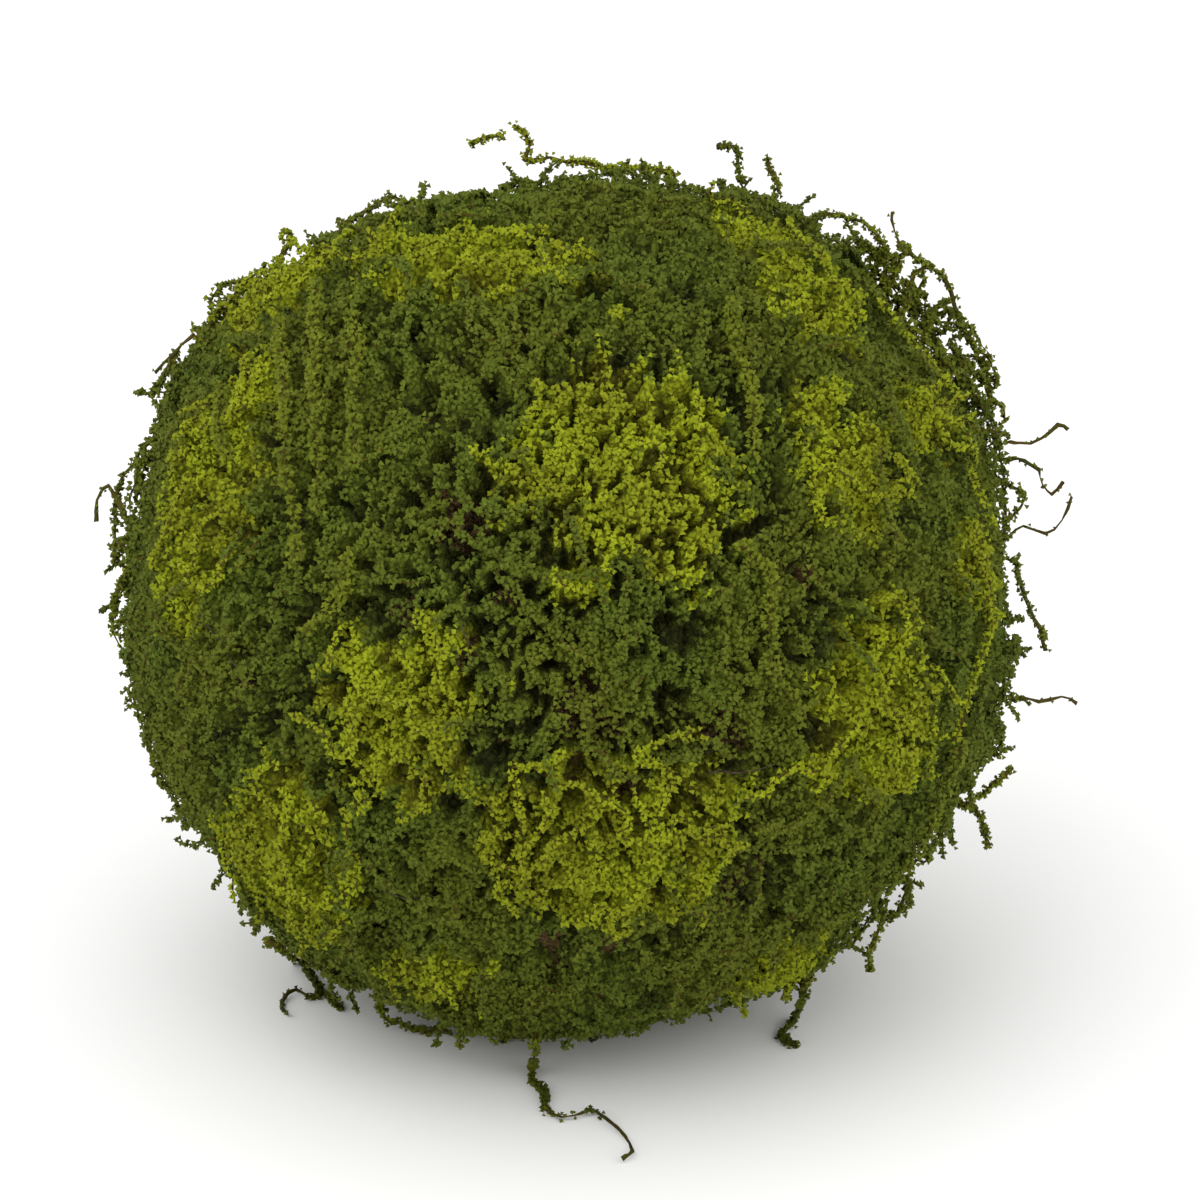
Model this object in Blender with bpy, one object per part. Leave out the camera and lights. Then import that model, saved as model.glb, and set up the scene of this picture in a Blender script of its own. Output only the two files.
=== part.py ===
"""Moss clump: a fibre ball coated with dark moss, with cushions of a lighter moss and loose curly strands.

Metres, +Z up. The origin is the middle of the flat base, on the surface that the clump rests on.
The front is -Y.
"""

import math

import bmesh
import bpy
from mathutils import Vector, noise

MM = 0.001

# Driving dimensions
COAT_RADIUS = 73.2 * MM
COAT_CENTRE = Vector((0.0, 0.0, 68.0 * MM))
CORE_RADIUS = 66.0 * MM
CORE_CENTRE = Vector((0.0, 0.0, 64.0 * MM))
TUFT_RISE = 1.0 * MM
GAP = 0.3 * MM
STRAND_RADIUS = 0.65 * MM
TAIL_RADIUS = 0.45 * MM
FLOOR_CLEARANCE = 0.1 * MM

# Surface of the ball
COAT_LEVEL = 4
CORE_LEVEL = 3
RIPPLE = 1.3 * MM
RIPPLE_PER_RADIUS = 3.2
CORE_RIPPLE = 0.8 * MM

# Wedges that divide the coat, as rings of points seen from its centre
WEDGE_SIDES = 12
WEDGE_INNER = 54.0 * MM
WEDGE_OUTER = 92.0 * MM
BED_MARGIN_DEG = 0.32

# Most strands stand on the rim, a great circle that leans back by this much from the upright
RIM_LEAN = math.radians(20.0)

# Swellings and hollows of the coat: azimuth and elevation in degrees, rise in millimetres, spread in degrees.
# Azimuth 0 is the front, -Y, and 90 is +X.
SWELLINGS = [
    (120, 54, 3.0, 12),
    (99, 22, 5.0, 10),
    (104, 36, -2.0, 8),
    (85, -14, 3.5, 12),
    (77, -33, -3.0, 10),
    (44, -63, -3.0, 12),
    (-104, 33, 3.5, 13),
    (-148, 67, -5.0, 17),
    (-96, -2, 2.0, 13),
    (-160, 5, 3.0, 20),
    (150, -25, 2.5, 18),
    (10, 40, 1.5, 16),
    (-25, 5, 1.5, 14),
]

# Light tufts: azimuth, elevation, half width, half height and roll, all in degrees
TUFTS = {
    "tuft_crown_left": (-37, 68, 16, 8, 8),
    "tuft_centre": (10, 37, 13, 15, 0),
    "tuft_left_streak": (-61, 25, 9, 19, 8),
    "tuft_mid_left": (-20, 6, 10, 11, -10),
    "tuft_lower_left": (-42, -21, 10, 16, -25),
    "tuft_lower_centre": (6, -11, 16, 12, 0),
    "tuft_right": (43, 1, 11, 13, 20),
    "tuft_upper_right": (47, 32, 8, 9, 15),
    "tuft_shoulder_right": (72, 57, 8, 13, -35),
    "tuft_far_right_upper": (77, 31, 7, 6, 0),
    "tuft_far_right": (68, 14, 6, 6, 0),
    "tuft_base_left": (-21, -39, 7, 6, 0),
    "tuft_shoulder_left": (-92, 48, 9, 9, 0),
    "tuft_base_right": (41, -42, 9, 7, -10),
    "tuft_back_high": (176, 52, 15, 9, 10),
    "tuft_back_right": (130, 17, 13, 12, -20),
    "tuft_back_centre": (167, -10, 12, 14, 15),
    "tuft_back_left": (-150, 26, 14, 11, 0),
    "tuft_side_left": (-104, -6, 10, 13, -12),
    "tuft_back_low_right": (112, -28, 10, 9, 0),
    "tuft_back_low_left": (-143, -34, 10, 8, 20),
}


def direction(azimuth, elevation):
    """Unit vector for an azimuth from the front towards +X and an elevation, in degrees."""
    azimuth, elevation = math.radians(azimuth), math.radians(elevation)
    flat = math.cos(elevation)
    return Vector((math.sin(azimuth) * flat, -math.cos(azimuth) * flat, math.sin(elevation)))


def coat_radius(unit):
    """Distance from the coat's centre to its surface."""
    radius = COAT_RADIUS + RIPPLE * noise.noise(unit * RIPPLE_PER_RADIUS)
    for azimuth, elevation, rise, spread in SWELLINGS:
        away = unit.angle(direction(azimuth, elevation)) / math.radians(spread)
        radius += rise * MM * math.exp(-away * away)
    return radius


def core_radius(unit):
    """Distance from the core's centre to its surface."""
    return CORE_RADIUS + CORE_RIPPLE * noise.noise(unit * RIPPLE_PER_RADIUS)


def off_coat(clock, lift, forward=0):
    """Point above the tufts: degrees round the rim from +X over the top, lift in mm, degrees forward."""
    clock, forward = math.radians(clock), math.radians(forward)
    up = Vector((0.0, math.sin(RIM_LEAN), math.cos(RIM_LEAN)))
    ahead = Vector((0.0, -math.cos(RIM_LEAN), math.sin(RIM_LEAN)))
    around = Vector((math.cos(clock), 0.0, 0.0)) + up * math.sin(clock)
    unit = around * math.cos(forward) + ahead * math.sin(forward)
    return COAT_CENTRE + unit * (coat_radius(unit) + TUFT_RISE + lift * MM)


def on_floor(x, y):
    """Point of a strand that lies on the surface below, in millimetres."""
    return Vector((x * MM, y * MM, STRAND_RADIUS + FLOOR_CLEARANCE))


# Loose strands. Each is a list of points along it, from its root on the coat to its tip.
STRANDS = {
    "crown_strand": [
        off_coat(76, 0.6, 5), off_coat(82, 0.8, 4), off_coat(88, 2.2, 3), off_coat(92, 4.6, 2),
        off_coat(95.5, 6, 1), off_coat(94.5, 8.6, 0), off_coat(96.5, 12.4, 0),
    ],
    "crown_strand_side": [off_coat(97.5, 10.8, 2), off_coat(99.5, 11, 2), off_coat(102, 10.6, 2)],
    "top_hook_left": [
        off_coat(67, 0.6, 1), off_coat(68.5, 2.6, 0), off_coat(69.5, 6.6, 0), off_coat(72, 6.2, 1),
    ],
    "top_hook_right": [
        off_coat(62.5, 0.6, 3), off_coat(63.5, 2.2, 3), off_coat(65, 4.2, 2), off_coat(66, 6.2, 2),
    ],
    "top_left_arch": [
        off_coat(121, 0.6, 2), off_coat(117, 2, 0), off_coat(113.5, 3.4, -1), off_coat(110, 1.4, 0),
        off_coat(106, 2.4, 1), off_coat(102, 0.6, 2),
    ],
    "left_brow_hook": [
        off_coat(130, 0.6, 0), off_coat(128, 1.8, 0), off_coat(126.5, 3.6, 0), off_coat(127.5, 4.6, 1),
    ],
    "left_shoulder_strand": [
        off_coat(147, 0.6, 4), off_coat(150, 0.9, 2), off_coat(153, 1.2, 1), off_coat(153.5, 4.6, 0),
    ],
    "left_shoulder_twig": [off_coat(144, 0.6, 8), off_coat(147.5, 1.6, 7), off_coat(150.5, 2.6, 6)],
    "left_loop": [
        off_coat(169, 0.6, 2), off_coat(167, 2, 1), off_coat(165.5, 4.4, 0), off_coat(167.5, 5.6, 0),
        off_coat(170, 4.6, 0),
    ],
    "left_loop_hanging": [
        off_coat(161, 0.6, -1), off_coat(163.5, 2.4, -2), off_coat(167, 2.8, -3), off_coat(171, 1.8, -3),
        off_coat(175, 0.6, -2),
    ],
    "right_arch": [
        off_coat(57, 0.6, 3), off_coat(54, 3, 2), off_coat(50.5, 4.8, 1), off_coat(47, 3.4, 0),
        off_coat(44.5, 0.8, -1),
    ],
    "right_spike": [off_coat(46, 6.2, 3), off_coat(49, 7, 3), off_coat(50.5, 9, 2)],
    "net_outer_strand": [
        off_coat(47, 8.2, -2), off_coat(44, 9.6, -3), off_coat(41, 11, -3), off_coat(37.5, 9, -3),
        off_coat(33, 6.4, -3), off_coat(29, 3.6, -3), off_coat(25, 0.7, -3),
    ],
    "net_inner_strand": [
        off_coat(48, 0.8, -7), off_coat(45, 4, -7), off_coat(41, 5.4, -7), off_coat(36, 3.8, -7),
        off_coat(31, 0.8, -7),
    ],
    "net_cross_high": [
        off_coat(41, 0.7, 2), off_coat(42, 3.6, 1), off_coat(43.5, 6.8, 0), off_coat(43, 10.2, 0),
    ],
    "net_cross_middle": [
        off_coat(36, 0.7, 1), off_coat(37.5, 3.4, 1), off_coat(39, 6, 0), off_coat(38.5, 9.6, 0),
    ],
    "net_cross_low": [
        off_coat(30, 0.7, 1), off_coat(32.5, 2.6, 0), off_coat(34.5, 4.2, 0), off_coat(34, 7.4, 0),
    ],
    "right_twig_high": [
        off_coat(20.5, 0.7, 3), off_coat(19.5, 2.6, 2), off_coat(19.2, 6, 2), off_coat(20, 9.4, 2),
        off_coat(19.2, 11.2, 2),
    ],
    "right_twig_curled": [
        off_coat(18.5, 0.7, -2), off_coat(17.5, 3.4, -1), off_coat(16, 5.6, 0), off_coat(14, 6.2, 0),
        off_coat(12.8, 8, 0), off_coat(14, 10, 0),
    ],
    "right_twig_low": [
        off_coat(9, 0.7, 0), off_coat(9.6, 3, 0), off_coat(8.6, 6.2, 0), off_coat(9.6, 9.4, 0),
        off_coat(12, 11.4, 0),
    ],
    "right_hanging_strand": [
        off_coat(6, 0.7, 2), off_coat(3, 1.2, 1), off_coat(0, 2.4, 1), off_coat(-3, 3.8, 0),
        off_coat(-5.6, 4.6, 0),
    ],
    "right_level_twig": [
        off_coat(-11.5, 0.7, 1), off_coat(-11.5, 3.2, 1), off_coat(-10.5, 7.2, 0), off_coat(-11, 10, 0),
    ],
    "sprig_right_up": [
        off_coat(-27, 0.7, 2), off_coat(-24, 2, 1), off_coat(-21.5, 2.8, 1), off_coat(-20, 3.4, 0),
    ],
    "sprig_right_down": [
        off_coat(-27, 0.8, -4), off_coat(-26.5, 3.4, -3), off_coat(-28, 6.4, -2), off_coat(-30, 9.4, -2),
    ],
    "low_right_loop": [
        off_coat(-36, 0.7, 0), off_coat(-39, 1.6, 0), off_coat(-42, 2.4, 0), off_coat(-44.5, 3, 0),
    ],
    "low_right_strand": [
        off_coat(-44, 0.7, 3), off_coat(-46.5, 2, 2), off_coat(-49, 3.4, 2), off_coat(-50.5, 5.8, 2),
    ],
    "floor_strand_right": [
        off_coat(-57, 0.8, 8), off_coat(-58.5, 2.6, 6), on_floor(39, -19), on_floor(38, -23),
        on_floor(35.5, -26), on_floor(38.5, -30),
    ],
    "floor_strand_left": [
        off_coat(-130, 0.8, 4), off_coat(-132, 2, 2), on_floor(-48, 4), on_floor(-45, -2),
        on_floor(-42, -10), on_floor(-38.5, -16),
    ],
    "floor_strand_left_tip": [
        on_floor(-44, -12), on_floor(-46.5, -8.5), on_floor(-49, -13), on_floor(-47.5, -19),
    ],
    "floor_strand_front": [
        off_coat(-94, 0.8, 17), off_coat(-94, 2.6, 14), on_floor(-5.5, -38), on_floor(-5.5, -43),
        on_floor(-3.2, -47.5), on_floor(-3.6, -52), on_floor(-0.6, -56.5), on_floor(2.6, -55),
        on_floor(5, -54.5), on_floor(8, -59.5), on_floor(10.2, -65), on_floor(10.2, -69.5),
        on_floor(8.8, -70.5),
    ],
    "back_strand_high": [
        off_coat(70, 0.7, -50), off_coat(66, 3, -52), off_coat(61, 4.4, -53), off_coat(57, 6.6, -52),
    ],
    "back_strand_left": [
        off_coat(150, 0.7, -42), off_coat(146, 3.2, -44), off_coat(141, 3.6, -46), off_coat(136, 1, -47),
    ],
    "back_strand_middle": [
        off_coat(95, 0.7, -80), off_coat(92, 3.4, -74), off_coat(86, 3.8, -70), off_coat(82, 0.8, -66),
    ],
    "back_strand_right": [
        off_coat(12, 0.7, -48), off_coat(8, 3.2, -50), off_coat(3, 4.8, -52), off_coat(-3, 7, -52),
    ],
    "back_strand_low": [
        off_coat(-150, 0.8, -50), off_coat(-152, 3.4, -52), off_coat(-157, 4.8, -54),
        off_coat(-162, 7.4, -54),
    ],
}
THIN_STRANDS = ("right_spike", "right_twig_high", "right_twig_low", "right_level_twig", "low_right_loop")
POINTS_PER_SPAN = 2


def make_material(name, colour, roughness):
    """A matte Principled material of one colour."""
    material = bpy.data.materials.new(name)
    material.use_nodes = True
    principled = material.node_tree.nodes["Principled BSDF"]
    principled.inputs["Base Color"].default_value = (*colour, 1.0)
    principled.inputs["Roughness"].default_value = roughness
    principled.inputs["Metallic"].default_value = 0.0
    material.diffuse_color = (*colour, 1.0)
    return material


def add_object(name, data, collection, material=None):
    """Links a new object for this mesh or curve into the collection."""
    obj = bpy.data.objects.new(name, data)
    collection.objects.link(obj)
    if material:
        data.materials.append(material)
    return obj


def add_boolean(obj, operation, cutter=None, collection=None):
    """Adds an exact Boolean that takes one cutter, or all of a collection's."""
    modifier = obj.modifiers.new(operation.title(), "BOOLEAN")
    modifier.operation = operation
    modifier.solver = "EXACT"
    if collection:
        modifier.operand_type = "COLLECTION"
        modifier.collection = collection
    else:
        modifier.object = cutter


def make_cutter(name, mesh, collection):
    """A helper that the build leaves out."""
    cutter = add_object(name, mesh, collection)
    cutter.hide_render = True
    cutter.display_type = "WIRE"
    return cutter


def ball_mesh(name, level, centre, radius_of):
    """An icosphere whose points are moved out to the radius that the function gives for their direction."""
    shape = bmesh.new()
    bmesh.ops.create_icosphere(shape, subdivisions=level, radius=1.0)
    for vertex in shape.verts:
        unit = vertex.co.normalized()
        vertex.co = centre + unit * radius_of(unit)
    for face in shape.faces:
        face.smooth = True
    mesh = bpy.data.meshes.new(name)
    shape.to_mesh(mesh)
    shape.free()
    return mesh


def floor_block_mesh():
    """A block whose top is the level of the base."""
    shape = bmesh.new()
    bmesh.ops.create_cube(shape, size=0.3)
    bmesh.ops.translate(shape, verts=shape.verts, vec=(0.0, 0.0, -0.15))
    mesh = bpy.data.meshes.new("floor_block")
    shape.to_mesh(mesh)
    shape.free()
    return mesh


def wedge_mesh(name, azimuth, elevation, half_width, half_height, roll, margin=0.0):
    """A wedge through the coat with an uneven outline round a direction, all in degrees."""
    middle = direction(azimuth, elevation)
    east = Vector((0.0, 0.0, 1.0)).cross(middle).normalized()
    north = middle.cross(east)
    shape = bmesh.new()
    inner, outer = [], []
    for side in range(WEDGE_SIDES):
        turn = 2 * math.pi * side / WEDGE_SIDES
        uneven = 1.0 + 0.13 * math.sin(3 * turn + azimuth) + 0.09 * math.sin(5 * turn + elevation)
        across = math.cos(turn) * (half_width * uneven + margin)
        along = math.sin(turn) * (half_height * uneven + margin)
        slant = math.radians(roll)
        right = math.tan(math.radians(across * math.cos(slant) - along * math.sin(slant)))
        rise = math.tan(math.radians(across * math.sin(slant) + along * math.cos(slant)))
        unit = (middle + east * right + north * rise).normalized()
        inner.append(shape.verts.new(COAT_CENTRE + unit * WEDGE_INNER))
        outer.append(shape.verts.new(COAT_CENTRE + unit * WEDGE_OUTER))
    shape.faces.new(outer)
    shape.faces.new(inner[::-1])
    for side in range(WEDGE_SIDES):
        after = (side + 1) % WEDGE_SIDES
        shape.faces.new((inner[side], inner[after], outer[after], outer[side]))
    bmesh.ops.triangulate(shape, faces=shape.faces)
    bmesh.ops.recalc_face_normals(shape, faces=shape.faces)
    mesh = bpy.data.meshes.new(name)
    shape.to_mesh(mesh)
    shape.free()
    return mesh


def smooth_route(stations):
    """Points along a smooth curve through the stations."""
    ends = [stations[0] * 2 - stations[1], *stations, stations[-1] * 2 - stations[-2]]
    route = [stations[0]]
    for before, start, end, after in zip(ends, ends[1:], ends[2:], ends[3:]):
        for step in range(1, POINTS_PER_SPAN + 1):
            t = step / POINTS_PER_SPAN
            pull = (end - before) * t + (before * 2 - start * 5 + end * 4 - after) * t**2
            pull += (start * 3 - before - end * 3 + after) * t**3
            point = start + pull * 0.5
            point.z = max(point.z, STRAND_RADIUS + FLOOR_CLEARANCE)
            route.append(point)
    return route


def strand_curve(name, stations, radius):
    """A round tube with closed ends along the stations."""
    curve = bpy.data.curves.new(name, "CURVE")
    curve.dimensions = "3D"
    curve.bevel_depth = radius
    curve.bevel_resolution = 1
    curve.use_fill_caps = True
    route = smooth_route(stations)
    spline = curve.splines.new("POLY")
    spline.points.add(len(route) - 1)
    for point, place in zip(spline.points, route):
        point.co = (*place, 1.0)
    spline.use_smooth = True
    return curve


def clear_scene():
    for obj in list(bpy.data.objects):
        bpy.data.objects.remove(obj)


def new_collection(name):
    collection = bpy.data.collections.new(name)
    bpy.context.scene.collection.children.link(collection)
    return collection


def make_core(parts, floor_block):
    material = make_material("brown_fibre", (0.045, 0.024, 0.016), 0.95)
    mesh = ball_mesh("fibre_core", CORE_LEVEL, CORE_CENTRE, core_radius)
    core = add_object("fibre_core", mesh, parts, material)
    add_boolean(core, "DIFFERENCE", floor_block)


def make_mat(parts, hollow, floor_block, beds):
    material = make_material("dark_moss", (0.045, 0.085, 0.012), 0.9)
    mesh = ball_mesh("dark_moss_mat", COAT_LEVEL, COAT_CENTRE, coat_radius)
    mat = add_object("dark_moss_mat", mesh, parts, material)
    add_boolean(mat, "DIFFERENCE", hollow)
    add_boolean(mat, "DIFFERENCE", floor_block)
    add_boolean(mat, "DIFFERENCE", collection=beds)


def make_tufts(parts, cutters, hollow):
    material = make_material("light_moss", (0.235, 0.3, 0.012), 0.9)
    blank = ball_mesh("tuft_blank", COAT_LEVEL, COAT_CENTRE, lambda unit: coat_radius(unit) + TUFT_RISE)
    blank.materials.append(material)
    for name, outline in TUFTS.items():
        wedge = make_cutter(name + "_wedge", wedge_mesh(name + "_wedge", *outline), cutters)
        tuft = add_object(name, blank, parts)
        add_boolean(tuft, "INTERSECT", wedge)
        add_boolean(tuft, "DIFFERENCE", hollow)


def make_strands(parts):
    material = make_material("moss_stem", (0.05, 0.08, 0.012), 0.85)
    for name, stations in STRANDS.items():
        radius = TAIL_RADIUS if name in THIN_STRANDS else STRAND_RADIUS
        add_object(name, strand_curve(name, stations, radius), parts, material)


def main():
    clear_scene()
    parts = new_collection("moss_clump")
    cutters = new_collection("cutters")
    beds = bpy.data.collections.new("tuft_beds")
    cutters.children.link(beds)
    floor_block = make_cutter("floor_block", floor_block_mesh(), cutters)
    hollow_mesh = ball_mesh("core_hollow", CORE_LEVEL, CORE_CENTRE, lambda unit: core_radius(unit) + GAP)
    hollow = make_cutter("core_hollow", hollow_mesh, cutters)
    for name, outline in TUFTS.items():
        make_cutter(name + "_bed", wedge_mesh(name + "_bed", *outline, margin=BED_MARGIN_DEG), beds)
    make_core(parts, floor_block)
    make_mat(parts, hollow, floor_block, beds)
    make_tufts(parts, cutters, hollow)
    make_strands(parts)


main()
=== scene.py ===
"""Looks of the moss clump: crumbed moss over a fibre core, light tufts, loose strands and bare twigs."""

import math
import random

import bmesh
import bpy
import numpy as np
from mathutils import Euler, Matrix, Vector, noise
from mathutils.bvhtree import BVHTree


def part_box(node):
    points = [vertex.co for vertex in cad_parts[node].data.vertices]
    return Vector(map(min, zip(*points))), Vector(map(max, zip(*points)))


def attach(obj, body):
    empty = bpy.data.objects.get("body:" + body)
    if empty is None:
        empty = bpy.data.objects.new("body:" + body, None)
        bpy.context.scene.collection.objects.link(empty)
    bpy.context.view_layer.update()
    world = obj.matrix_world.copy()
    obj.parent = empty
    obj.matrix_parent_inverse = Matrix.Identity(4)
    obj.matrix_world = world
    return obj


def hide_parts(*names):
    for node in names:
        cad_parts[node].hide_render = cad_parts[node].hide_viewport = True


bl_info = {
    "name": "Moss clump",
    "version": (1, 0, 0),
    "blender": (4, 5, 0),
    "location": "View3D > Sidebar > Moss",
    "description": "Builds a round clump of stringy moss around its fibre core",
    "category": "Object",
}

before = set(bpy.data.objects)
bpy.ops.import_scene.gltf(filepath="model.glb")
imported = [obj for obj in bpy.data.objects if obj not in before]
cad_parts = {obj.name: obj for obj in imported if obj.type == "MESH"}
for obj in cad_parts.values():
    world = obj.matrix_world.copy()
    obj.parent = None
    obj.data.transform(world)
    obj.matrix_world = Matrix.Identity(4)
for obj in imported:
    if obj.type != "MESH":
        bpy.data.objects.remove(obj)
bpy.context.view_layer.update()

MM = 0.001
BODY = "root"
MAT_NODE = "dark_moss_mat"
CORE_NODE = "fibre_core"
TUFT_NODES = sorted(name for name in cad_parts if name.startswith("tuft_"))
STRAND_NODES = sorted(set(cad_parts) - {MAT_NODE, CORE_NODE, *TUFT_NODES})
BARE_STRANDS = {
    "right_twig_high", "right_twig_low", "right_level_twig", "right_spike", "right_twig_curled",
    "left_loop", "floor_strand_left_tip", "left_shoulder_twig",
}
THIN_STRANDS = {
    "right_spike", "right_twig_high", "right_twig_low", "right_level_twig", "low_right_loop",
    "left_loop",
}
LIGHT_STRANDS = {"crown_strand", "crown_strand_side", "left_brow_hook"}
TAIL_NODE = "floor_strand_front"
# How far in front of the middle this strand loses its crumbs
TAIL_BARE_PAST = (52 * MM, 57 * MM)
# The bake map that the crumbs bring with them
BAKE_MAP = "OFBake"
# Share of the bed's faces that is left when it is thinned
BED_KEPT = 0.36
# How far the shading of the crumbs is turned outwards, from 0 to 1
LEAF_SOFTNESS = 0.6

# Painted shade: how the moss colour is darkened from its top, at level 1, down to the floor of its pits,
# where shade falls
PAINTED_DEPTH_SHADE = [
    (0.0, (0.34, 0.3, 0.62)),
    (0.25, (0.64, 0.6, 0.78)),
    (0.55, (0.94, 0.92, 0.97)),
    (0.8, (1.0, 1.0, 1.0)),
]
# How the moss differs from cluster to cluster, and from crumb to crumb
CLUSTER_SHADES = [(0.34, (0.88, 0.89, 0.9)), (0.66, (1.06, 1.05, 1.06))]
CRUMB_SHADES = [(0.0, (0.92, 0.93, 0.95)), (1.0, (1.06, 1.05, 1.06))]

# Sizes of the relief that the bed and its crumbs share: ropes of moss, gaps, folds and pits
RELIEF = {"Rope spacing": 4.0 * MM, "Gap depth": 4.0 * MM, "Valley depth": 2.4 * MM, "Pit depth": 3.6 * MM}

MAT_LOW, MAT_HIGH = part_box(MAT_NODE)
COAT_RADIUS = (MAT_HIGH.x - MAT_LOW.x) / 2
COAT_CENTRE = Vector((0.0, 0.0, MAT_HIGH.z - COAT_RADIUS + 2 * MM))

# Search trees, skins and a node tree, which are each made once
made = {}

# Brown openings in the moss: azimuth and elevation from the front in degrees, and size in degrees
OPENINGS = [
    (-15, 31, 5.0), (-21, 18, 3.2), (-12, 14, 2.8), (3, 7, 5.2), (7, -3, 2.8), (20, 3, 5.0),
    (-8, 22, 2.6), (35, 20, 2.6), (-45, 5, 2.4), (24, -22, 3.0), (-28, -27, 2.4), (62, -12, 3.0),
    (92, 8, 3.4), (150, 35, 4.0), (-170, 8, 4.5), (146, -2, 3.2), (-128, 5, 4.0), (-80, -25, 3.2),
    (-120, 52, 3.2),
]

# Leafy ropes of dark moss that hang down over the clump, as azimuths and elevations in degrees
HANGING_ROPES = [
    [(-69, 55), (-52, 49), (-44, 43), (-38, 35), (-35, 28)],
    [(-68, 49), (-54, 43), (-46, 36), (-41, 29), (-37, 22)],
    [(-47, 54), (-40, 48), (-35, 42), (-32, 35)],
    [(-66, 38), (-57, 32), (-50, 26), (-46, 19)],
    [(50, 33), (48, 27), (47, 21), (45, 15)],
    [(38, 56), (34, 49), (31, 42), (29, 36)],
    [(24, 26), (27, 19), (26, 12), (29, 6)],
    [(-28, 24), (-30, 17), (-34, 12)],
    [(60, -8), (57, -15), (58, -22), (55, -28)],
    [(100, 40), (98, 32), (101, 25), (99, 17)],
    [(170, 30), (166, 22), (168, 14), (163, 7)],
    [(-130, 42), (-127, 34), (-130, 27), (-126, 19)],
    [(-95, 20), (-92, 13), (-95, 6)],
    [(140, -12), (143, -19), (141, -27)],
]

# Bare twigs that lie on the moss, as azimuths and elevations in degrees
TWIGS = [
    [(-53, 12), (-48, 9.5), (-44, 7.5), (-40, 5)],
    [(17, -0.5), (21, -1.5), (26, -1)],
    [(-24, -19), (-21, -20), (-17, -18.5)],
    [(-12, 14), (-11.6, 16), (-12.4, 17.5)],
    [(150, 21), (156, 15), (160, 9)],
    [(-141, -10), (-134, -14), (-130, -20)],
    [(99, 30), (104, 24), (103, 18)],
]

# Short curls that stand on the rim, as degrees round it from +X over the top, lifts in millimetres off
# the tufts, and degrees forward
RIM_CURLS = [
    [(15.6, 0.2, 1), (14.8, 3.2, 0), (13.2, 4.2, 0), (11.8, 2.6, 0), (11.4, 0.2, 1)],
    [(-39, 1.6, 0), (-41, 4.0, 0), (-43.4, 4.0, 0), (-44.4, 1.2, 0)],
    [(-47.5, 0.2, 0), (-50, 2.2, 0), (-53, 0.2, 0)],
    [(-116, 0.2, 1), (-114, 2.4, 1), (-110.5, 2.8, 1), (-107.5, 2.4, 1), (-105, 0.2, 1)],
    [(-97.6, -0.6, 2), (-98.6, 2.4, 1)],
    [(-86, -0.8, 2), (-86.5, 1.2, 1)],
    [(-70, -0.6, 2), (-71, 1.6, 1), (-70.4, 3, 1)],
    [(176, -0.4, 0), (179, 1.4, 0), (183, 2.0, 0), (186, -0.2, 0)],
    [(196, -0.4, 1), (198, 2.2, 0), (200, -0.2, 0)],
    [(201, -0.4, 1), (203, 2.4, 0), (205.5, 0, 0)],
    [(133, -0.2, 0), (135.5, 2.4, 0), (138.5, 3, 0), (141, 0, 0)],
    [(44, 2, -5), (42, 4.8, -4), (40, 7.8, -3)],
    [(39.5, 1, -6), (38, 4, -4), (36.2, 7, -3)],
    [(34.5, 0.8, -5), (33.5, 3.4, -4), (31.5, 5.2, -3)],
    [(46.5, 1.4, -4), (45.5, 4.8, -3), (46.4, 7.4, -2)],
    [(49, 0.5, -3), (47.6, 3.8, -4), (44.6, 5.2, -5), (42.6, 3.2, -6)],
    [(107, 0.2, 0), (110, 2.6, 1), (112.5, 2.4, 1), (114, 0, 1)],
    [(-20, -0.4, 2), (-18.5, 1.8, 1), (-16.4, 0.2, 0)],
    [(26.6, 0, 0), (25, 2.6, 0), (23.2, 2.2, 0), (22.4, 0, 0)],
    [(157, -0.4, 2), (160, 1.8, 1), (163, 0.2, 1)],
    [(-33.4, -0.6, 2), (-34, 1.8, 1), (-35.4, 2.6, 0), (-36.4, 0.4, 0)],
]
RIM_LEAN = math.radians(20.0)

# Outline of the open net of leafy stems over the right shoulder, as degrees round the rim and the most
# millimetres off the tufts
NET_OUTLINE = [(26, 3), (29, 7), (33.5, 8), (37.5, 11), (42, 12.5), (46.4, 8.6), (49.5, 5.8), (53, 3)]
NET_STEMS = 34
NET_STEP = 2.2

# Seed of the crooks in the ropes, curls, roots and twigs
BEND_SEED = 7

# Where the camera looks, how far the view is raised, the light of the room, and the lamps: name, azimuth
# and elevation in degrees, distance and width in metres, and watts
LOOK_AT = Vector((5.56 * MM, 0.0, 68 * MM))
VIEW_RAISED = 0.84 * MM
ROOM_LIGHT = 1.22
LAMPS = [("key_light", -42, 50, 0.7, 0.6, 1.75), ("fill_light", 40, 20, 0.8, 0.6, 1.0)]

# Sectors of the coat, as azimuth ranges in degrees. The dark moss is one piece in each.
SECTORS = {
    "front_left": (-90, 0),
    "front_right": (0, 90),
    "back_right": (90, 180),
    "back_left": (-180, -90),
}


def length(name, description, default):
    return bpy.props.FloatProperty(name=name, description=description, default=default, unit="LENGTH")


def plain_number(name, description, default):
    return bpy.props.FloatProperty(name=name, description=description, default=default)


def colour_of(name, description, default):
    return bpy.props.FloatVectorProperty(
        name=name, description=description, default=default, subtype="COLOR"
    )


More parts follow.
